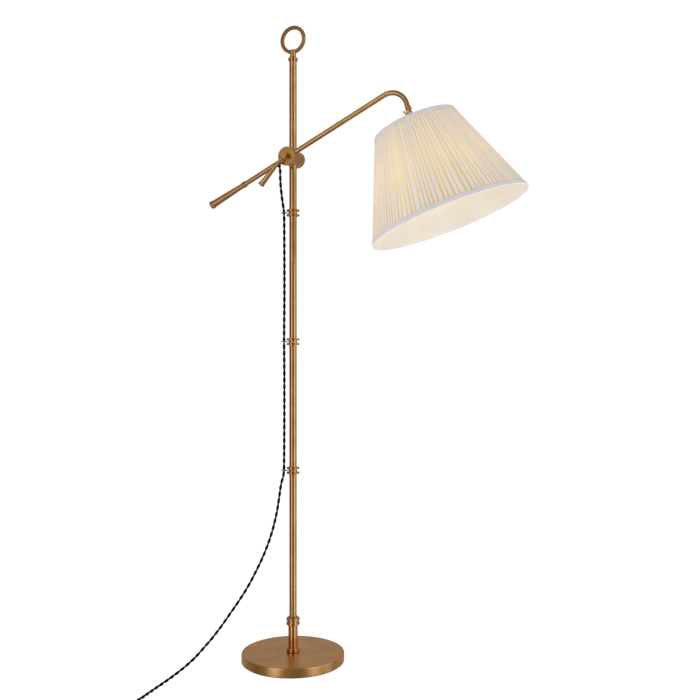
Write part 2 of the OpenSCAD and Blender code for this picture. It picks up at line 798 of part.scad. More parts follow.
// The tilt screw has a plain head on one side and a wing on the other
module fork_screw() {
    reach = tongue_w / 2 + cheek_gap + cheek_w;
    color(brass) on_head() {
        translate([-reach - 1, 0, 0]) rotate([0, 90, 0])
            cylinder(r = fork_pin_r, h = 2 * reach + 2);
        translate([reach, 0, 0]) rotate([0, 90, 0]) round_disc(screw_head_r, screw_head_h, 0.5);
        translate([-reach - wing_hub_h, 0, 0]) rotate([0, 90, 0])
            cylinder(r1 = wing_hub_r - 0.8, r2 = wing_hub_r, h = wing_hub_h);
        for (s = [-1, 1]) hull() {
            wing_end(-reach - wing_root_r - 0.1, s * 2, wing_root_r);
            wing_end(-wing_out, s * wing_up, wing_tip_r);
        }
    }
}

module holder_cap() {
    r = holder_r + cap_wall + run_fit;
    color(brass) on_head() rotate_extrude() polygon([
        [stem_r + run_fit, cap_top], [9, cap_top + 0.6], [r * 0.7, cap_top + 3.4],
        [r * 0.9, cap_top + 8], [r, cap_top + 14], [r, cap_skirt],
        [r - cap_wall, cap_skirt], [r - cap_wall, cap_top + 14.4], [r * 0.9 - cap_wall,
        cap_top + 9], [r * 0.7 - 0.9, cap_top + 5], [8.6, cap_top + 2.2],
        [stem_r + run_fit, cap_top + 1.8]]);
}

module holder_shell() {
    color(brass) on_head() difference() {
        union() {
            translate([0, 0, holder_z]) cylinder(r = holder_r, h = holder_h);
            translate([0, 0, shoulder_z]) cylinder(r = holder_r + 3, h = shoulder_h);
        }
        translate([0, 0, holder_z + holder_wall])
            cylinder(r = holder_r - holder_wall, h = holder_h);
        translate([0, 0, holder_z - 1]) cylinder(r = 4, h = 10);
        translate([0, 0, key_z]) rotate([-90, 0, 0]) cylinder(r = key_stem_r + run_fit, h = 40);
    }
}

module holder_core() {
    core_r = holder_r - holder_wall - run_fit;
    color("ivory") on_head() translate([0, 0, holder_z + holder_wall]) difference() {
        cylinder(r = core_r, h = 28);
        translate([0, 0, 5]) cylinder(r = bulb_cap_r + run_fit, h = 40);
    }
}

module shade_ring_nut() {
    color(brass) on_head() translate([0, 0, spider_z + spider_h]) difference() {
        round_disc(holder_r + 4, ring_nut_h, 1.2);
        translate([0, 0, -1]) cylinder(r = holder_r + run_fit, h = ring_nut_h + 2);
    }
}

module bulb_cap() {
    bottom = holder_z + holder_wall + 5.2;
    color(steel) on_head() translate([0, 0, bottom]) difference() {
        cylinder(r = bulb_cap_r, h = bulb_neck_z - bottom);
        translate([0, 0, bulb_wall]) cylinder(r = bulb_cap_r - bulb_wall, h = bulb_neck_z - bottom);
    }
}

// Bulb's outline, smaller by a wall
module bulb_shape(wall) {
    neck_end = holder_end + 1;
    translate([0, 0, bulb_ball_z]) sphere(r = bulb_r - wall);
    translate([0, 0, bulb_neck_z - wall])
        cylinder(r = bulb_cap_r + 1 - wall, h = neck_end - bulb_neck_z + wall);
    translate([0, 0, neck_end]) cylinder(r1 = bulb_cap_r + 1 - wall, r2 = bulb_r * 0.866 - wall,
        h = bulb_ball_z - bulb_r / 2 - neck_end);
}

module bulb_glass() {
    color(cream) on_head() difference() {
        bulb_shape(0);
        bulb_shape(bulb_wall);
    }
}

module switch_key() {
    stem_from = holder_r - holder_wall + 0.2;
    key_from = holder_r + 8;
    color(black) on_head() translate([0, 0, key_z]) rotate([-90, 0, 0]) {
        translate([0, 0, stem_from]) cylinder(r = key_stem_r, h = key_from - stem_from + 1);
        translate([0, 0, key_from]) round_disc(5.5, 8, 1.2);
    }
}

// ---------- shade ----------

// Radius of the shade's outer skin at a distance down the axis
function skin_r(z) = shade_top_r + (z - shade_drop) * shade_slope;

// Cone-shaped ring between two depths below the outer skin
module skin_layer(z1, z2, depth1, depth2) {
    rotate_extrude($fn = 180) polygon([
        [skin_r(z1) - depth2, z1], [skin_r(z1) - depth1, z1],
        [skin_r(z2) - depth1, z2], [skin_r(z2) - depth2, z2]]);
}

module wire_ring(z) {
    translate([0, 0, z]) rotate_extrude($fn = 180) translate([skin_r(z) - wire_in, 0])
        circle(r = wire_r, $fn = 32);
}

module shade_spider() {
    hub_out = holder_r + 7;
    ring_z = shade_drop + wire_edge;
    arm_in = hub_out - 1;
    arm_out = skin_r(ring_z) - wire_in;
    arm_z = spider_z + spider_h / 2;
    rise = arm_z - ring_z;
    color(steel) on_head() {
        wire_ring(ring_z);
        translate([0, 0, spider_z]) difference() {
            cylinder(r = hub_out, h = spider_h);
            translate([0, 0, -1]) cylinder(r = holder_r + run_fit, h = spider_h + 2);
        }
        for (a = spider_angles) rotate([0, 0, a]) translate([arm_in, 0, arm_z])
            rotate([0, 90 - atan2(-rise, arm_out - arm_in), 0])
            cylinder(r = wire_r - 0.2, h = norm([arm_out - arm_in, rise]), $fn = 32);
    }
}

module shade_bottom_ring() {
    color(steel) on_head() wire_ring(shade_end - wire_edge);
}

// The lining is notched at its top edge where the spider's arms cross it
module shade_liner() {
    notch_w = shade_wire_d + 0.4;
    color(cream) on_head() difference() {
        skin_layer(shade_drop + band_wall + 0.2, shade_end - band_wall - 0.2, liner_in, rim_wall);
        for (a = spider_angles) rotate([0, 0, a])
            translate([shade_top_r - 3 * rim_wall, -notch_w / 2, shade_drop])
            cube([4 * rim_wall, notch_w, wire_edge + notch_depth]);
    }
}

module pleated_cover() {
    color(linen) on_head()
        skin_layer(shade_drop + cover_inset, shade_end - cover_inset, band_wall, cover_in);
}

module top_band() {
    color(linen) on_head() {
        skin_layer(shade_drop, shade_drop + band_h, 0, band_wall - cloth_gap);
        skin_layer(shade_drop, shade_drop + band_wall, 0, rim_wall);
    }
}

module bottom_band() {
    color(linen) on_head() {
        skin_layer(shade_end - band_h, shade_end, 0, band_wall - cloth_gap);
        skin_layer(shade_end - band_wall, shade_end, 0, rim_wall);
    }
}

// ---------- cord ----------

module cord_upper() {
    color(navy) swept(smooth_route(cord_upper_route, 2), cord_r, cord_sides);
}

module cord_lower() {
    color(navy) swept(smooth_route(cord_lower_route, 2), cord_r, cord_sides);
}

module cord_coil() {
    color(navy) translate([coil_x, coil_y, 0]) rotate_extrude()
        translate([coil_mid_r - coil_half, 0]) square([2 * coil_half, coil_layers * cord_d]);
}

module plug_body() {
    color(black) translate([plug_x, plug_y, plug_r]) rotate([0, 90, 0]) {
        cylinder(r1 = plug_r - 2, r2 = plug_r, h = 12);
        translate([0, 0, 12]) cylinder(r = plug_r, h = plug_len - 12);
    }
}

module plug_blades() {
    color(steel) for (s = [-1, 1])
        translate([plug_x + plug_len, plug_y + s * 6.35 - 0.75, plug_r - 3.2])
        cube([17.5, 1.5, 6.4]);
}

module plug_relief() {
    color(black) translate([relief_x, plug_y, plug_r]) rotate([0, 90, 0])
        cylinder(r1 = cord_r + 0.9, r2 = plug_r - 2.5, h = relief_len);
}

// ---------- drawing ----------

base_cover();
base_weight();
base_felt();
base_stud();
base_washer();
base_nut();
foot_collar();
foot_tube();
lower_coupling();
column_tube_1();
column_tube_2();
column_tube_3();
column_tube_4();
joint_studs();
clip_1();
clip_2();
clip_3();
cord_loop_1();
cord_loop_2();
cord_loop_3();
finial_post();
finial_ring();
column_hub();
hub_back_cap();
pivot_bolt();
friction_washer();
arm_hub();
front_plate();
arm_tube();
arm_tail();
grip_rings();
grip_handle();
cord_bush();
arm_lead();
arm_knuckle();
lever_washer();
lever_knob();
lever_handle();
fork();
fork_screw();
holder_cap();
holder_shell();
holder_core();
shade_ring_nut();
bulb_glass();
bulb_cap();
shade_spider();
shade_bottom_ring();
shade_liner();
pleated_cover();
top_band();
bottom_band();
switch_key();
cord_upper();
cord_lower();
cord_coil();
plug_body();
plug_blades();
plug_relief();
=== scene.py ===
# %% [markdown]
# # A bridge floor lamp with a pleated shade
# The lamp is a brass stand with a tilting arm, a lit shade of pleated linen and a twisted
# cloth cord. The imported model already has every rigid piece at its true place, so this
# lesson adds what a solid can't hold: the finish of each surface, the pleats of the cloth,
# the twist of the cord, and a studio to see them in. All lengths are in metres, in the
# model's own frame: +Z up, +X the way the arm reaches, -Y the side with the lever.

# %% The frame
import json
import math
import random

import bpy
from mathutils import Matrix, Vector


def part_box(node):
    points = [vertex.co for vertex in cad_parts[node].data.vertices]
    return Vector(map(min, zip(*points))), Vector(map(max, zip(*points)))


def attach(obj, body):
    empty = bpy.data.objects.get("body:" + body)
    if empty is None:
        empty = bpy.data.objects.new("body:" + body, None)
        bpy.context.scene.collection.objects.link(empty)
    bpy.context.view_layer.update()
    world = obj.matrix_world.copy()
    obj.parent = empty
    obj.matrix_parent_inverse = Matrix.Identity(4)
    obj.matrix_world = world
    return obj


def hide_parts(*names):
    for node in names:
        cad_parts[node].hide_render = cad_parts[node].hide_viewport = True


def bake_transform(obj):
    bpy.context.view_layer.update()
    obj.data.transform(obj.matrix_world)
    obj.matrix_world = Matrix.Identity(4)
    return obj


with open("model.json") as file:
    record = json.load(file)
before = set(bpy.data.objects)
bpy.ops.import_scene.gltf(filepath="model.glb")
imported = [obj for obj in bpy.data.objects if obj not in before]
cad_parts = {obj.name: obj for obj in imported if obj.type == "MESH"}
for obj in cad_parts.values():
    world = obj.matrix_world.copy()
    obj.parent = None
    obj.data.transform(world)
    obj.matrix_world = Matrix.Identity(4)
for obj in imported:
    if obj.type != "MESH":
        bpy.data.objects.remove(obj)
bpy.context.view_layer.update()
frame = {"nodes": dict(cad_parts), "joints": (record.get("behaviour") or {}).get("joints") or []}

nodes = frame["nodes"]
MM = 0.001

# %% [markdown]
# The camera stands a little right of the lamp's front, level, at the height of its middle.
# A long lens could flatten the lamp, but the ellipses of the base and of the shade's rims
# give the real distance, and with it a lens a little under 50 mm on a 36 mm wide sensor.

# %% The camera
CAMERA_YAW = math.radians(25)
CAMERA_PLACE = Vector((1.18128, -2.17155, 0.83366))
LENS_MM = 47.31
SENSOR_MM = 36

camera_data = bpy.data.cameras.new("camera")
camera_data.sensor_width = SENSOR_MM
camera_data.lens = LENS_MM
camera = bpy.data.objects.new("camera", camera_data)
camera.location = CAMERA_PLACE
camera.rotation_euler = (math.radians(90), 0, CAMERA_YAW)
bpy.context.scene.collection.objects.link(camera)
bpy.context.scene.camera = camera
to_camera = Vector((math.sin(CAMERA_YAW), -math.cos(CAMERA_YAW), 0))
camera_right = Vector((math.cos(CAMERA_YAW), math.sin(CAMERA_YAW), 0))
print("camera", tuple(round(v, 3) for v in camera.location))

# %% [markdown]
# Every piece made here is a mesh from a list of points and faces. One helper builds it,
# smooths it, gives it a finish and ties it to the body it moves with. A second helper lists
# the faces of a sheet, because the strands, the pleats and the bands are all such grids.

# %% Helpers for meshes
def build(name, points, faces, material, body, replaces=()):
    """A smooth mesh with its finish, on its body, in place of the nodes it replaces."""
    mesh = bpy.data.meshes.new(name)
    mesh.from_pydata([tuple(p) for p in points], [], faces)
    mesh.update()
    for face in mesh.polygons:
        face.use_smooth = True
    piece = bpy.data.objects.new(name, mesh)
    bpy.context.scene.collection.objects.link(piece)
    mesh.materials.append(material)
    if body:
        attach(piece, body)
    if replaces:
        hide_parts(*replaces)
    print(name, len(points), "points", len(faces), "faces")
    return piece


def grid_faces(rows, columns, closed=True):
    """Faces of a sheet of rows and columns, whose columns may close on themselves."""
    last = columns if closed else columns - 1
    return [
        (r * columns + c, r * columns + (c + 1) % columns,
         (r + 1) * columns + (c + 1) % columns, (r + 1) * columns + c)
        for r in range(rows - 1) for c in range(last)
    ]

# %% [markdown]
# A finish is a small network of nodes. Written out link by link it is hard to read, so one
# class wraps a socket and turns Python's own signs into Math nodes: `1 - mask * 0.4` then
# makes the nodes that do it. Any other node comes from the finish's node method.

# %% Shader maths as Python
class Value:
    """A socket in a finish, for use in expressions."""

    def __init__(self, finish, socket):
        self.finish = finish
        self.socket = socket

    def math(self, operation, *others):
        values = dict(enumerate((self, *others)))
        return self.finish.node("ShaderNodeMath", {"operation": operation}, values)

    def __add__(self, other):
        return self.math("ADD", other)

    def __sub__(self, other):
        return self.math("SUBTRACT", other)

    def __mul__(self, other):
        return self.math("MULTIPLY", other)

    def __rsub__(self, other):
        return self.finish.node("ShaderNodeMath", {"operation": "SUBTRACT"}, {0: other, 1: self})

    __radd__ = __add__
    __rmul__ = __mul__

    def span(self, low, high, new_low=0.0, new_high=1.0):
        """The value's stretch from low to high, mapped smoothly to the new one."""
        return self.finish.node(
            "ShaderNodeMapRange", {"interpolation_type": "SMOOTHSTEP"},
            {"Value": self, "From Min": low, "From Max": high, "To Min": new_low,
             "To Max": new_high})


class Finish:
    """A material whose surface is one Principled BSDF."""

    def __init__(self, name):
        self.material = bpy.data.materials.new(name)
        self.material.use_nodes = True
        self.tree = self.material.node_tree
        self.surface = self.tree.nodes["Principled BSDF"]

    def put(self, socket, value):
        """Link a value to a socket, or set a plain number, vector or colour on it."""
        if isinstance(value, Value):
            self.tree.links.new(value.socket, socket)
        elif isinstance(value, (tuple, list)) and len(value) < len(socket.default_value):
            socket.default_value = (*value, 1.0)
        else:
            socket.default_value = value

    def node(self, kind, settings=None, inputs=None, output=0):
        """Any node, from its type, its settings and the values of its sockets."""
        made = self.tree.nodes.new(kind)
        for name, value in (settings or {}).items():
            setattr(made, name, value)
        for key, value in (inputs or {}).items():
            self.put(made.inputs[key], value)
        return None if output is None else Value(self, made.outputs[output])

    def vector(self, operation, first, second=None, output=0):
        inputs = {0: first} if second is None else {0: first, 1: second}
        return self.node("ShaderNodeVectorMath", {"operation": operation}, inputs, output)

    def scaled(self, vector, by):
        return self.node("ShaderNodeVectorMath", {"operation": "SCALE"},
                         {0: vector, "Scale": by})

    def place(self):
        """The point's place in the lamp's frame, in metres."""
        return self.node("ShaderNodeTexCoord", output="Object")

    def attribute(self, name):
        return self.node("ShaderNodeAttribute", {"attribute_name": name}, output="Fac")

    def noise(self, where, scale, detail=3.0, rough=0.5):
        return self.node("ShaderNodeTexNoise", {}, {
            "Vector": where, "Scale": scale, "Detail": detail, "Roughness": rough})

    def line_noise(self, along, detail=2.0):
        return self.node("ShaderNodeTexNoise", {"noise_dimensions": "1D"}, {
            "W": along, "Scale": 1.0, "Detail": detail})

    def mix(self, first, second, factor):
        return self.node("ShaderNodeMix", {"data_type": "RGBA"},
                         {0: factor, 6: first, 7: second}, 2)

    def bump(self, height, depth, strength=1.0):
        return self.node("ShaderNodeBump", {}, {
            "Height": height, "Distance": depth, "Strength": strength})

    def set(self, **values):
        for name, value in values.items():
            self.put(self.surface.inputs[name.replace("_", " ")], value)
        return self.material

# %% [markdown]
# The stand is brass with a brushed antique finish: a warm brown gold that is lighter where
# hands and cloths rub it and darker where the patina stays. Tubes are drawn, so their fine
# scratches run along them. Collars, clips and hubs are turned on a lathe, so theirs run
# round. One function makes both from a point and a direction on the piece's own axis.

# %% Brass
BRASS_LIGHT = (0.70, 0.42, 0.185)
BRASS_MID = (0.60, 0.335, 0.137)
BRASS_DARK = (0.34, 0.165, 0.05)
PATINA_SCALE = 22
SPOT_SCALE = 240
DRAWN_ACROSS = 1100
DRAWN_ALONG = 7
TURNED_LINES = 1500
SCRATCH_DEPTH = 0.0000015


def brass(name, centre, axis, way, rough=0.14, anisotropic=0.0):
    """Brass that is drawn along an axis or turned about it."""
    finish = Finish(name)
    axis = tuple(Vector(axis).normalized())
    from_centre = finish.vector("SUBTRACT", finish.place(), tuple(centre))
    along = finish.vector("DOT_PRODUCT", from_centre, axis, output="Value")
    lengthwise = finish.scaled(axis, along)
    across = finish.vector("SUBTRACT", from_centre, lengthwise)
    radius = finish.vector("LENGTH", across, output="Value")
    if way == "drawn":
        scratches = finish.noise(finish.vector(
            "ADD", finish.scaled(across, DRAWN_ACROSS),
            finish.scaled(lengthwise, DRAWN_ALONG)), 1.0, 1)
    else:
        scratches = finish.line_noise((along + radius) * TURNED_LINES, 2)
    patina = finish.noise(finish.place(), PATINA_SCALE, 4, 0.6)
    spots = finish.noise(finish.place(), SPOT_SCALE, 2, 0.6).span(0.62, 0.78)
    tone = finish.mix(BRASS_MID, BRASS_LIGHT, patina.span(0.35, 0.7))
    tone = finish.mix(tone, BRASS_DARK, scratches.span(0.25, 0.8, 0.0, 0.10))
    tone = finish.mix(tone, BRASS_DARK, spots * 0.12)
    return finish.set(
        Base_Color=tone,
        Metallic=1.0,
        Roughness=rough + patina * 0.06 + scratches * 0.02,
        Anisotropic=anisotropic,
        Normal=finish.bump(scratches, SCRATCH_DEPTH, 0.3))


print("brass from", BRASS_DARK, "to", BRASS_LIGHT)

# %% [markdown]
# The finishes that show less are quicker: cast iron under the base, felt, zinc plate,
# fibre, porcelain, black moulded plastic, lacquered wire and the bulb's cap. Each still has
# the grain that the real stuff shows when it is held near the eye. Two noises make it, a
# large one for the clouds and a small one for the grain.

# %% The plainer finishes
def grainy(name, light, dark, roughness, grain, depth, metallic=0.0, **more):
    """A finish of two tones and one grain, which is also its relief."""
    finish = Finish(name)
    large = finish.noise(finish.place(), grain / 8, 3)
    small = finish.noise(finish.place(), grain, 3, 0.6)
    return finish.set(
        Base_Color=finish.mix(dark, light, (large * 0.5 + small * 0.5).span(0.3, 0.7)),
        Metallic=metallic,
        Roughness=roughness - 0.08 + small * 0.16,
        Normal=finish.bump(small, depth, 0.6),
        **more)


iron = grainy("cast_iron", (0.09, 0.09, 0.09), (0.05, 0.05, 0.05), 0.7, 500, 0.0003)
felt = grainy("black_felt", (0.035, 0.035, 0.035), (0.015, 0.015, 0.015), 0.95, 2500, 0.0003)
zinc = grainy("zinc_plate", (0.60, 0.60, 0.61), (0.42, 0.42, 0.44), 0.38, 900, 0.00003, 1.0)
fibre = grainy("fibre", (0.07, 0.05, 0.04), (0.04, 0.03, 0.03), 0.7, 1500, 0.0001)
porcelain = grainy("porcelain", (0.86, 0.85, 0.81), (0.80, 0.79, 0.75), 0.25, 700, 0.00002,
                   Coat_Weight=0.5)
black_plastic = grainy("black_plastic", (0.035, 0.035, 0.037), (0.022, 0.022, 0.024), 0.42,
                       1800, 0.00004)
wire_finish = grainy("shade_wire", (0.80, 0.77, 0.70), (0.62, 0.59, 0.53), 0.45, 900, 0.00003,
                     0.6)
bulb_metal = grainy("bulb_cap", (0.70, 0.70, 0.68), (0.5, 0.5, 0.49), 0.3, 600, 0.00003, 1.0)
print("plainer finishes, such as", iron.name, "and", porcelain.name)

# %% [markdown]
# Scratches and pleats follow a piece's own axis, so the axes come first. The joints of the
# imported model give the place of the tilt's bolt and of the swivel. From the swivel the shade
# hangs down and leans a few degrees to the back, and two cross directions complete its frame.

# %% The shade's axis
joints = {joint["name"]: joint for joint in frame["joints"]}
swivel = Vector(joints["shade_tilt"]["pos_m"])
swivel_axis = Vector(joints["shade_tilt"]["axis"]).normalized()
tilt_place = Vector(joints["arm_tilt"]["pos_m"])
SHADE_LEAN = math.radians(4.7)
to_back = Vector((0, 1, 0))
nose_way = to_back.cross(swivel_axis).normalized()
shade_down = (nose_way * math.cos(SHADE_LEAN) + to_back * math.sin(SHADE_LEAN)).normalized()
shade_side = swivel_axis
shade_front = shade_down.cross(shade_side).normalized()
print("swivel", tuple(round(v, 4) for v in swivel), "down", tuple(round(v, 3) for v in shade_down))

# %% [markdown]
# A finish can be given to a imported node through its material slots, so the exact shape that
# was built stays as it is and only its look changes. One table keeps every choice in view:
# the brass pieces are sorted by how each was made and by the axis its scratches follow.
# The arm and its grip share one direction, the hub's pieces turn about the tilt's bolt, and
# the lampholder follows the shade's own axis.

# %% Giving the nodes their finishes
ARM_RISE = math.radians(25.3)
LEVER_DROP = math.radians(46.5)
ORIGIN = (0, 0, 0)
UP = (0, 0, 1)
arm_way = (math.cos(ARM_RISE), 0, math.sin(ARM_RISE))
lever_way = (-math.cos(LEVER_DROP), 0, -math.sin(LEVER_DROP))

finishes = {
    brass("drawn_column", ORIGIN, UP, "drawn"):
        ("foot_tube", "column_tube_1", "column_tube_2", "column_tube_3", "column_tube_4"),
    brass("spun_base", ORIGIN, UP, "turned", rough=0.24, anisotropic=0.4): ("base_cover",),
    brass("turned_column", ORIGIN, UP, "turned"):
        ("foot_collar", "lower_coupling", "clip_1", "clip_2", "clip_3",
         "finial_post", "cord_loop_1", "cord_loop_2", "cord_loop_3", "finial_ring"),
    brass("turned_hub", tilt_place, to_back, "turned", rough=0.26):
        ("column_hub", "hub_back_cap", "arm_hub", "front_plate", "lever_knob"),
    brass("drawn_arm", tilt_place, arm_way, "drawn", rough=0.34): ("arm_tube", "arm_tail"),
    brass("turned_grip", tilt_place, arm_way, "turned", rough=0.38):
        ("grip_rings", "grip_handle"),
    brass("turned_lever", tilt_place, lever_way, "turned", rough=0.30): ("lever_handle",),
    brass("turned_holder", swivel, shade_down, "turned", rough=0.36):
        ("arm_knuckle", "fork", "fork_screw", "holder_cap", "holder_shell", "shade_ring_nut"),
    iron: ("base_weight",),
    felt: ("base_felt",),
    zinc: ("base_stud", "base_washer", "base_nut", "joint_studs", "pivot_bolt",
           "lever_washer", "plug_blades"),
    fibre: ("friction_washer",),
    porcelain: ("holder_core",),
    black_plastic: ("switch_key", "plug_body", "plug_relief", "cord_bush"),
    wire_finish: ("shade_spider", "shade_bottom_ring"),
    bulb_metal: ("bulb_cap",),
}
for material, names in finishes.items():
    for name in names:
        for place in nodes[name].material_slots:
            place.material = material
    print(material.name, "on", len(names), "nodes")

# %% [markdown]
# The cord is a twisted pair: two insulated cores, each braided over in dark cotton, laid
# round each other. A single round tube would read as rubber flex. The route is the one the
# model gives, so it repeats the same points, and a smooth curve through them carries two
# strands that wind about it. What the picture doesn't show is coiled on the floor beyond
# its lower edge: turns inward, then a step up and turns outward on top, to the plug.

# %% The cord's route
CORD_D = 0.007
CORD_STEP = 0.003
UPPER_ROUTE = [(-27, -27, 1324.6), (-25.6, -27, 1321.4), (-24.2, -27, 1312), (-24.6, -26, 1296),
               (-24.7, -23.8, 1276), (-24, -20.4, 1252), (-22.7, -16.2, 1228),
               (-21.4, -13.4, 1213), (-20.8, -12.1, 1201)]
LOWER_ROUTE = [(-20.3, -11.8, 1170), (-20, -11.6, 1085), (-19.9, -11.5, 1000),
               (-20.2, -11.7, 930), (-20.7, -12, 856), (-20.2, -11.7, 790), (-20.1, -11.6, 710),
               (-20.2, -11.7, 630), (-20.5, -11.9, 560), (-20.8, -12, 526), (-21, -12.2, 508),
               (-22.6, -13.9, 494), (-26.8, -18.8, 470), (-32.6, -28.8, 405),
               (-41.8, -42.2, 346), (-57.4, -57, 290), (-73, -73, 246), (-88, -88, 209),
               (-103, -104, 177), (-118.6, -120.8, 147), (-133, -139.6, 118),
               (-146.6, -161.4, 91), (-159.2, -185.6, 68), (-169.8, -211.6, 48),
               (-180.2, -242, 32), (-190, -278, 19), (-196.6, -317, 10.5), (-198.8, -357, 5.5),
               (-196.5, -398, 3.5), (-194.6, -440, 3.5), (-193, -466, 3.5), (-192.6, -484, 3.5)]
COIL_CENTRE = (-140, -484)
COIL_ENTRY_R = 52.6
COIL_EXIT_R = 45.5
COIL_TURNS = 5.25
COIL_STEPS = 24
COIL_CLIMB_TURNS = 0.25
ROW = CORD_D / MM
COIL_INNER_R = (COIL_ENTRY_R + COIL_EXIT_R - COIL_TURNS * ROW) / 2
RELIEF_OVERLAP = 1


def coil_points():
    """Turns inward on the floor, then a climb and turns outward on top of them."""
    points = []
    turns_in = (COIL_ENTRY_R - COIL_INNER_R) / ROW
    for step in range(1, round(COIL_TURNS * COIL_STEPS) + 1):
        turn = step / COIL_STEPS
        climb = min(1.0, max(0.0, (turn - turns_in) / COIL_CLIMB_TURNS))
        radius = COIL_INNER_R + abs(turn - turns_in) * ROW
        angle = math.pi + 2 * math.pi * turn
        points.append((COIL_CENTRE[0] + radius * math.cos(angle),
                       COIL_CENTRE[1] + radius * math.sin(angle),
                       ROW / 2 + ROW * climb * climb * (3 - 2 * climb)))
    return points


def smooth_curve(points, step):
    """Points about a step apart on one smooth curve through the chosen ones."""
    curve = []
    count = len(points)
    for i in range(count - 1):
        p0, p1 = points[max(i - 1, 0)], points[i]
        p2, p3 = points[i + 1], points[min(i + 2, count - 1)]
        parts = max(1, round((p2 - p1).length / step))
        for k in range(parts):
            t = k / parts
            curve.append(0.5 * ((2 * p1) + (p2 - p0) * t
                                + (2 * p0 - 5 * p1 + 4 * p2 - p3) * t * t
                                + (3 * p1 - p0 - 3 * p2 + p3) * t ** 3))
    return curve + [points[-1]]


relief_low, relief_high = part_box("plug_relief")
relief_tip = (relief_low[0] / MM + RELIEF_OVERLAP, (relief_low[1] + relief_high[1]) / 2 / MM,
              (relief_low[2] + relief_high[2]) / 2 / MM)
route = [Vector(p) * MM for p in UPPER_ROUTE + LOWER_ROUTE + coil_points() + [relief_tip]]
cord_line = smooth_curve(route, CORD_STEP)
cord_length = sum((b - a).length for a, b in zip(cord_line, cord_line[1:]))
print("cord", round(cord_length, 3), "m long,", len(cord_line), "points")

# %% [markdown]
# The braid is matt cotton in a blue so dark that it reads as black. Fine noise at the size
# of the threads breaks up the tone and lifts the surface a little, and a few pale specks
# stand for lint. The lead inside the arm is the same cord, so it has the same finish.

# %% The braid of the cord
BRAID_DARK = (0.0022, 0.0030, 0.0072)
BRAID_LIGHT = (0.009, 0.011, 0.022)
LINT = (0.035, 0.038, 0.055)


def braid():
    finish = Finish("navy_braid")
    where = finish.place()
    weave = finish.noise(where, 2600, 2, 0.7)
    lint = finish.noise(where, 500, 3, 0.6).span(0.55, 0.8)
    tone = finish.mix(BRAID_DARK, BRAID_LIGHT, weave.span(0.35, 0.75))
    tone = finish.mix(tone, LINT, lint * 0.3)
    return finish.set(Base_Color=tone, Roughness=0.78 + weave * 0.15, Specular_IOR_Level=0.12,
                      Normal=finish.bump(weave, 0.00025, 0.8))


navy_braid = braid()
for place in nodes["arm_lead"].material_slots:
    place.material = navy_braid
print("braid", navy_braid.name)

# %% [markdown]
# Each strand is a tube swept along a helix about the cord's middle line. A pair of steady
# cross directions is carried from point to point, so the strands wind evenly round bends
# as well. Where the cord lies on the floor its soft underside is pressed flat.

# %% The twisted pair
STRAND_R = 0.00212
STRAND_OFFSET = 0.00185
TWIST_PITCH = 0.036
STRAND_SIDES = 10
FLOOR_GAP = 0.0001


def frames_along(line):
    """A steady pair of cross directions at each point of a line."""
    steady = []
    side = Vector((1, 0, 0))
    for i, point in enumerate(line):
        way = (line[min(i + 1, len(line) - 1)] - line[max(i - 1, 0)]).normalized()
        side = (side - way * side.dot(way)).normalized()
        steady.append((point, side.copy(), way.cross(side)))
    return steady


def twisted_pair(line):
    """Points and faces of two strands that wind about a line."""
    points, faces = [], []
    places = frames_along(line)
    turns = []
    along = 0.0
    for i, point in enumerate(line):
        along += (point - line[i - 1]).length if i else 0.0
        turns.append(2 * math.pi * along / TWIST_PITCH)
    for strand in (0, 1):
        first = len(points)
        for (point, side, up), turn in zip(places, turns):
            angle = turn + strand * math.pi
            middle = point + (side * math.cos(angle) + up * math.sin(angle)) * STRAND_OFFSET
            for k in range(STRAND_SIDES):
                a = 2 * math.pi * k / STRAND_SIDES
                points.append(middle + (side * math.cos(a) + up * math.sin(a)) * STRAND_R)
                points[-1].z = max(points[-1].z, FLOOR_GAP)
        faces += [tuple(first + v for v in face) for face in grid_faces(len(line), STRAND_SIDES)]
        faces.append(tuple(first + k for k in reversed(range(STRAND_SIDES))))
        faces.append(tuple(len(points) - STRAND_SIDES + k for k in range(STRAND_SIDES)))
    return points, faces


points, faces = twisted_pair(cord_line)
cord = build("twisted_cord", points, faces, navy_braid, None,
             ("cord_upper", "cord_lower", "cord_coil"))
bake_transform(cord)

# %% [markdown]
# The shade's cover is one strip of linen, laid in narrow pleats by hand and stitched at the
# top and bottom wires. Because a hand laid them, no two are quite alike. Light from the
# bulb comes through the single layer at the bottom of each fold and is held back by the
# three layers of each ridge, so the folds glow in thin warm lines between pale ridges. Here
# the mesh is one layer whose columns of points dip at each fold.

# %% The pleats' shape
SHADE_DROP = 0.0316
SHADE_H = 0.2528
TOP_R = 0.1069
BOTTOM_R = 0.2069
BAND_H = 0.0125
PLEATS = 102
RIDGE_DEPTH = 0.0007
FOLD_DEPTH = 0.0015
COVER_INSET = 0.0034
PLEAT_ROWS = 20
WAVER_ANGLE = 0.003
WAVER_TURN = 3.1
FULL_PHASE = 6.28
SEED = 7


def skin_r(drop):
    """Radius of the shade's outer skin, a distance down from its top edge."""
    return TOP_R + (BOTTOM_R - TOP_R) * drop / SHADE_H


def on_shade(angle, radius, drop):
    """The point at an angle and radius, a distance down from the shade's top edge."""
    return (swivel + shade_down * (SHADE_DROP + drop)
            + (shade_side * math.cos(angle) + shade_front * math.sin(angle)) * radius)


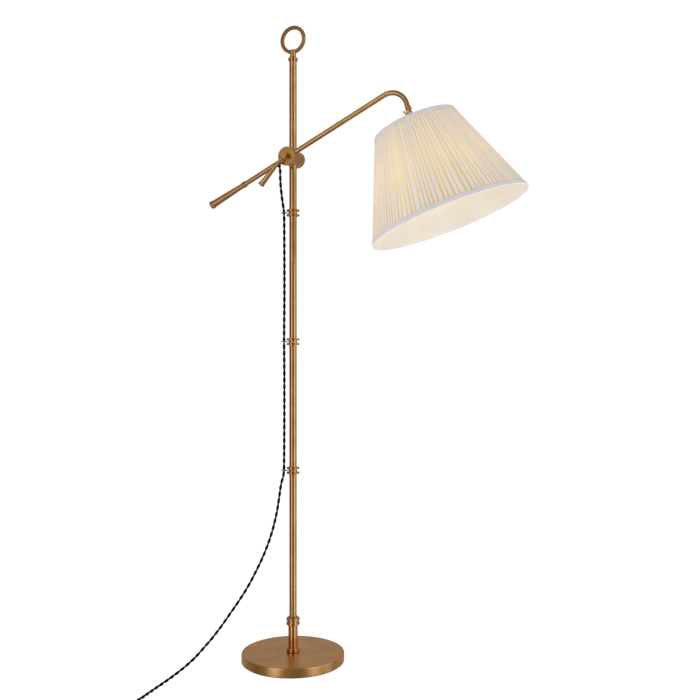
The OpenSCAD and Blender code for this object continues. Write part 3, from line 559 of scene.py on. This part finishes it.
def pleat_columns(rng):
    """For each column of points: its angle, depth in the fold, waver, and its pleat's lot."""
    widths = [rng.uniform(0.7, 1.3) for _ in range(PLEATS)]
    scale = 2 * math.pi / sum(widths)
    columns = []
    start = 0.0
    for width in widths:
        span = width * scale
        fold = rng.uniform(0.16, 0.28)
        lot = rng.random()
        lean = rng.uniform(-0.25, 0.35)
        waver = (rng.uniform(-1, 1), rng.uniform(0, FULL_PHASE))
        profile = [(0.0, 1.0), (fold * 0.45, 0.75), (fold, 0.12), (0.32, lean * 0.3),
                   (0.55, 0.0), (0.78, -lean * 0.2), (1 - fold * 0.8, 0.15),
                   (1 - fold * 0.35, 0.8)]
        for share, depth in profile:
            columns.append((start + span * share, max(depth, 0.0), waver, lot))
        start += span
    return columns


rng = random.Random(SEED)
columns = pleat_columns(rng)
points, folds, lots = [], [], []
for row in range(PLEAT_ROWS):
    down = row / (PLEAT_ROWS - 1)
    drop = COVER_INSET + (SHADE_H - 2 * COVER_INSET) * down
    for angle, depth, (sway, phase), lot in columns:
        shift = sway * WAVER_ANGLE * math.sin(WAVER_TURN * down + phase)
        radius = skin_r(drop) - RIDGE_DEPTH - (FOLD_DEPTH - RIDGE_DEPTH) * depth
        points.append(on_shade(angle + shift, radius, drop))
        folds.append(depth)
        lots.append(lot)
print("pleats", PLEATS, "columns", len(columns))

# %% [markdown]
# The cloth's finish is mixed by how deep each point lies in its fold, which the mesh keeps
# as an attribute. Folds get a golden base colour, which is painted light, the bulb's light
# shining through the single layer, and they glow. Ridges stay pale, and both are brighter
# near the bulb's height. A second attribute makes some pleats a little denser than others.
# The glow is painted as emission, so it doesn't wait for light to find its way through cloth.

# %% The pleated linen
GLOW_DROP = 0.115
GLOW_REACH = 0.14
# A thin orange line just under the top band: the seam there, coloured with painted glow
SEAM_GLOW_WIDTH = 0.0012
SEAM_GLOW_DROP = BAND_H + SEAM_GLOW_WIDTH
LINEN_DARK = (0.69, 0.645, 0.605)
LINEN_LIGHT = (0.74, 0.685, 0.635)
LINEN_DENSE = (0.62, 0.60, 0.60)
# Golden base colour of the folds: painted light, the bulb's glow through one layer of cloth
LINEN_FOLD_PAINTED_GLOW = (0.56, 0.40, 0.16)
LINEN_THREAD = (0.60, 0.55, 0.50)
SEAM_AND_GLOW_TONE = (0.50, 0.28, 0.11)
RIDGE_GLOW = ((0.085, 0.075, 0.065), (0.165, 0.125, 0.085))
DENSE_FOLD_GLOW = ((0.13, 0.07, 0.01), (0.32, 0.19, 0.01))
THIN_FOLD_GLOW = ((0.27, 0.16, 0.01), (0.56, 0.36, 0.01))


def pleated_linen():
    finish = Finish("pleated_linen")
    where = finish.place()
    from_top = finish.vector("DOT_PRODUCT",
                             finish.vector("SUBTRACT", where, tuple(swivel)),
                             tuple(shade_down), output="Value") - SHADE_DROP
    near = 1 - (from_top - GLOW_DROP).math("ABSOLUTE").span(0.0, GLOW_REACH)
    deep = finish.attribute("fold").span(0.02, 0.6)
    lot = finish.attribute("pleat")
    weave = finish.noise(where, 1900, 2, 0.6)
    cloud = finish.noise(where, 16, 3)
    # Painted glow: a thin orange line along the seam just under the top band
    seam_and_glow = 1 - (from_top - SEAM_GLOW_DROP).math("ABSOLUTE").span(0.0, SEAM_GLOW_WIDTH)
    tone = finish.mix(LINEN_DARK, LINEN_LIGHT, cloud.span(0.3, 0.7))
    tone = finish.mix(tone, LINEN_DENSE, lot * 0.4)
    # The folds' golden base colour is painted light of the bulb shining through the cloth
    tone = finish.mix(tone, LINEN_FOLD_PAINTED_GLOW, deep * 0.9)
    tone = finish.mix(tone, SEAM_AND_GLOW_TONE, seam_and_glow * 0.5)
    tone = finish.mix(tone, LINEN_THREAD, weave.span(0.5, 0.8, 0.0, 0.25))
    ridge_glow = finish.mix(*RIDGE_GLOW, near)
    dense_glow = finish.mix(*DENSE_FOLD_GLOW, near)
    thin_glow = finish.mix(*THIN_FOLD_GLOW, near)
    glow = finish.mix(ridge_glow, finish.mix(thin_glow, dense_glow, lot), deep)
    return finish.set(Base_Color=tone, Roughness=0.85, Sheen_Weight=0.15,
                      Emission_Color=glow, Emission_Strength=1.0,
                      Normal=finish.bump(weave, 0.00012, 0.6))


cover = build("pleated_linen_cover", points, grid_faces(PLEAT_ROWS, len(columns)),
              pleated_linen(), "head", ("pleated_cover",))
for name, values in (("fold", folds), ("pleat", lots)):
    layer = cover.data.attributes.new(name, "FLOAT", "POINT")
    layer.data.foreach_set("value", values)

# %% [markdown]
# Flat folded strips of the same linen close the top and bottom edges. The strip goes over
# the edge wire and is glued down inside, so its edge is round. Its two long edges are
# turned under, which shows as a thin rounded lip above the pleats.

# %% The trim bands
BAND_COLUMNS = 240
RIM = 0.0041
BAND_DARK = (0.62, 0.58, 0.57)
BAND_LIGHT = (0.69, 0.645, 0.635)
BAND_THREAD = (0.52, 0.49, 0.48)
# A faint painted glow on the bands, which are no lamp
BAND_PAINTED_GLOW = (0.04, 0.035, 0.035)


def band_points(edge_drop, toward):
    """The section of a band, from the pleats over the shade's edge to the lining."""
    section = [(0.0126, 0.0007), (0.0126, 0.0002), (0.0121, -0.0001), (0.0110, 0.0),
               (0.0060, 0.0), (0.0014, 0.0), (0.0005, 0.0003), (0.0, 0.0010),
               (-0.0001, RIM * 0.5), (0.0, RIM - 0.0008), (0.0005, RIM - 0.0002),
               (0.0014, RIM), (0.0050, RIM), (0.0052, RIM - 0.0004)]
    return [(edge_drop + toward * inward, depth) for inward, depth in section]


def band_linen():
    finish = Finish("linen_band")
    where = finish.place()
    weave = finish.noise(where, 2200, 2, 0.6)
    cloud = finish.noise(where, 30, 3)
    tone = finish.mix(BAND_DARK, BAND_LIGHT, cloud.span(0.3, 0.7))
    tone = finish.mix(tone, BAND_THREAD, weave.span(0.55, 0.8, 0.0, 0.35))
    return finish.set(Base_Color=tone, Roughness=0.88, Sheen_Weight=0.15,
                      Emission_Color=BAND_PAINTED_GLOW, Emission_Strength=1.0,
                      Normal=finish.bump(weave, 0.00015, 0.7))


band_finish = band_linen()
for name, node, edge, toward in (("top_trim", "top_band", 0.0, 1),
                                 ("bottom_trim", "bottom_band", SHADE_H, -1)):
    points = []
    section = band_points(edge, toward)
    for drop, depth in section:
        for column in range(BAND_COLUMNS):
            angle = 2 * math.pi * column / BAND_COLUMNS
            points.append(on_shade(angle, skin_r(drop) - depth, drop))
    trim = build(name, points, grid_faces(len(section), BAND_COLUMNS), band_finish, "head",
                 (node,))
    round_shade = 2 * math.pi * skin_r(edge)

# %% [markdown]
# The lining is stiff cream card. Seen from below it is the brightest part of the lamp, for
# the bulb lights all of it, most where it is nearest, and that light is painted on the card
# as emission. The bulb itself is frosted, so it is a soft ball of light. A faint lamp just
# below it adds a little real light on the card besides the painted glow.

# %% Lining and bulb
BULB_FROM_SWIVEL = 0.128
BULB_LIGHT_FROM_SWIVEL = 0.172
BULB_LIGHT_COLOUR = (1.0, 0.80, 0.55)
BULB_LIGHT_WATTS = 0.1
BULB_LIGHT_SIZE = 0.03
CARD_DARK = (0.60, 0.545, 0.46)
CARD_LIGHT = (0.66, 0.61, 0.53)
CARD_PAINTED_GLOW = ((0.065, 0.06, 0.065), (0.21, 0.185, 0.115))


def lining():
    finish = Finish("cream_lining")
    where = finish.place()
    bulb = tuple(swivel + shade_down * BULB_FROM_SWIVEL)
    near = 1 - finish.vector("DISTANCE", where, bulb, output="Value").span(0.10, 0.26)
    grain = finish.noise(where, 900, 3, 0.6)
    cloud = finish.noise(where, 9, 2)
    tone = finish.mix(CARD_DARK, CARD_LIGHT, cloud.span(0.3, 0.7))
    # Painted light: the bulb's light on the card, painted as emission, strongest nearest the bulb
    glow = finish.mix(*CARD_PAINTED_GLOW, near)
    return finish.set(Base_Color=tone, Roughness=0.6, Emission_Color=glow,
                      Emission_Strength=1.0, Normal=finish.bump(grain, 0.00005, 0.4))


def frosted_bulb():
    finish = Finish("frosted_bulb")
    frost = finish.noise(finish.place(), 300, 2)
    glow = finish.mix((1.0, 0.80, 0.52), (1.0, 0.88, 0.66), frost)
    return finish.set(Base_Color=(0.95, 0.93, 0.88), Roughness=0.5, Emission_Color=glow,
                      Emission_Strength=2.0)


for name, material in (("shade_liner", lining()), ("bulb_glass", frosted_bulb())):
    for place in nodes[name].material_slots:
        place.material = material
bulb_light = bpy.data.lights.new("bulb_light", "POINT")
bulb_light.energy = BULB_LIGHT_WATTS
bulb_light.color = BULB_LIGHT_COLOUR
bulb_light.shadow_soft_size = BULB_LIGHT_SIZE
bulb_lamp = bpy.data.objects.new("bulb_light", bulb_light)
bulb_lamp.location = swivel + shade_down * BULB_LIGHT_FROM_SWIVEL
bpy.context.scene.collection.objects.link(bulb_lamp)
print("bulb's light at", tuple(round(v, 3) for v in bulb_lamp.location))

# %% [markdown]
# Brass shows what stands round it, so the studio is built for the reflections: tall soft
# boxes left and right of the camera draw the bright lines down each tube, a dimmer one far
# to the right draws its edge, and the dark space where the camera stands draws the line in
# the middle. The boxes reach below the floor, which casts no shadow and isn't mirrored, for
# only low light gets to the upright edge of the base.

# %% The soft boxes
LAMP_MIDDLE = Vector((0.05, 0, 0.85))
BOX_DISTANCE = 2.2
BOX_HEIGHT = 0.92
BOX_TALL = 3.45


def soft_box(name, side_deg, width, radiance):
    """A tall soft light, turned by side_deg to the right of the camera's direction."""
    side = math.radians(side_deg)
    way = to_camera * math.cos(side) + camera_right * math.sin(side)
    light = bpy.data.lights.new(name, "AREA")
    light.shape = "RECTANGLE"
    light.size = width
    light.size_y = BOX_TALL
    light.energy = radiance * math.pi * width * BOX_TALL
    lamp = bpy.data.objects.new(name, light)
    lamp.location = LAMP_MIDDLE + way * BOX_DISTANCE
    lamp.location.z = BOX_HEIGHT
    aim = (LAMP_MIDDLE - lamp.location).normalized()
    lamp.rotation_euler = aim.to_track_quat("-Z", "Y").to_euler()
    bpy.context.scene.collection.objects.link(lamp)
    print(name, round(light.energy, 2), "W")


soft_box("left_box", -37, 0.90, 1.35)
soft_box("right_box", 50, 1.05, 1.25)
soft_box("far_right_box", 84, 0.7, 0.9)

# %% [markdown]
# The floor is one wide sheet of pale paper that glows a little, so that with the world
# behind it the page burns out to white, as in a catalogue. It is the stage, not the lamp.

# %% The floor
FLOOR_HALF = 30


def studio_floor():
    finish = Finish("studio_floor")
    return finish.set(Base_Color=(0.9, 0.9, 0.9), Roughness=0.9,
                      Emission_Color=(1, 1, 1), Emission_Strength=0.75)


corners = [(x * FLOOR_HALF, y * FLOOR_HALF, 0) for x, y in ((-1, -1), (1, -1), (1, 1), (-1, 1))]
floor = build("studio_floor", corners, [(0, 1, 2, 3)], studio_floor(), None)
floor.visible_glossy = False
floor.visible_shadow = False

# %% [markdown]
# The world answers each kind of ray in its own way. The camera sees a white page, a mirror
# sees the dim warm walls of a room that is lighter behind the lamp, and matt cloth gets an
# even fill. The same class of helpers writes it, on the world's nodes.

# %% The world
WALLS_FRONT = (0.22, 0.175, 0.12)
WALLS_BEHIND = (0.45, 0.39, 0.325)
FILL = (0.42, 0.43, 0.45)
PAGE_STRENGTH = 1.05


class Studio(Finish):
    """The world's network, written with the same helpers as a finish."""

    def __init__(self, world):
        world.use_nodes = True
        self.tree = world.node_tree
        self.tree.nodes.clear()

    def background(self, colour, strength=1.0):
        return self.node("ShaderNodeBackground", {}, {"Color": colour, "Strength": strength})


world = bpy.data.worlds.new("studio")
bpy.context.scene.world = world
studio = Studio(world)
way = studio.node("ShaderNodeTexCoord", output="Generated")
behind = studio.vector("DOT_PRODUCT", way, tuple(-to_camera), output="Value").span(-0.1, 0.9)
walls = studio.background(studio.mix(WALLS_FRONT, WALLS_BEHIND, behind))
fill = studio.background(FILL)
page = studio.background((1, 1, 1), PAGE_STRENGTH)
ray = studio.tree.nodes.new("ShaderNodeLightPath")
shown = Value(studio, ray.outputs["Is Camera Ray"])
mirrored = Value(studio, ray.outputs["Is Glossy Ray"])
lit = studio.node("ShaderNodeMixShader", {}, {0: mirrored, 1: fill, 2: walls})
studio.node("ShaderNodeOutputWorld", {}, {
    0: studio.node("ShaderNodeMixShader", {}, {0: shown, 1: lit, 2: page})}, None)
bpy.context.scene.view_settings.view_transform = "Standard"
print("world", world.name, "with", len(studio.tree.nodes), "nodes")
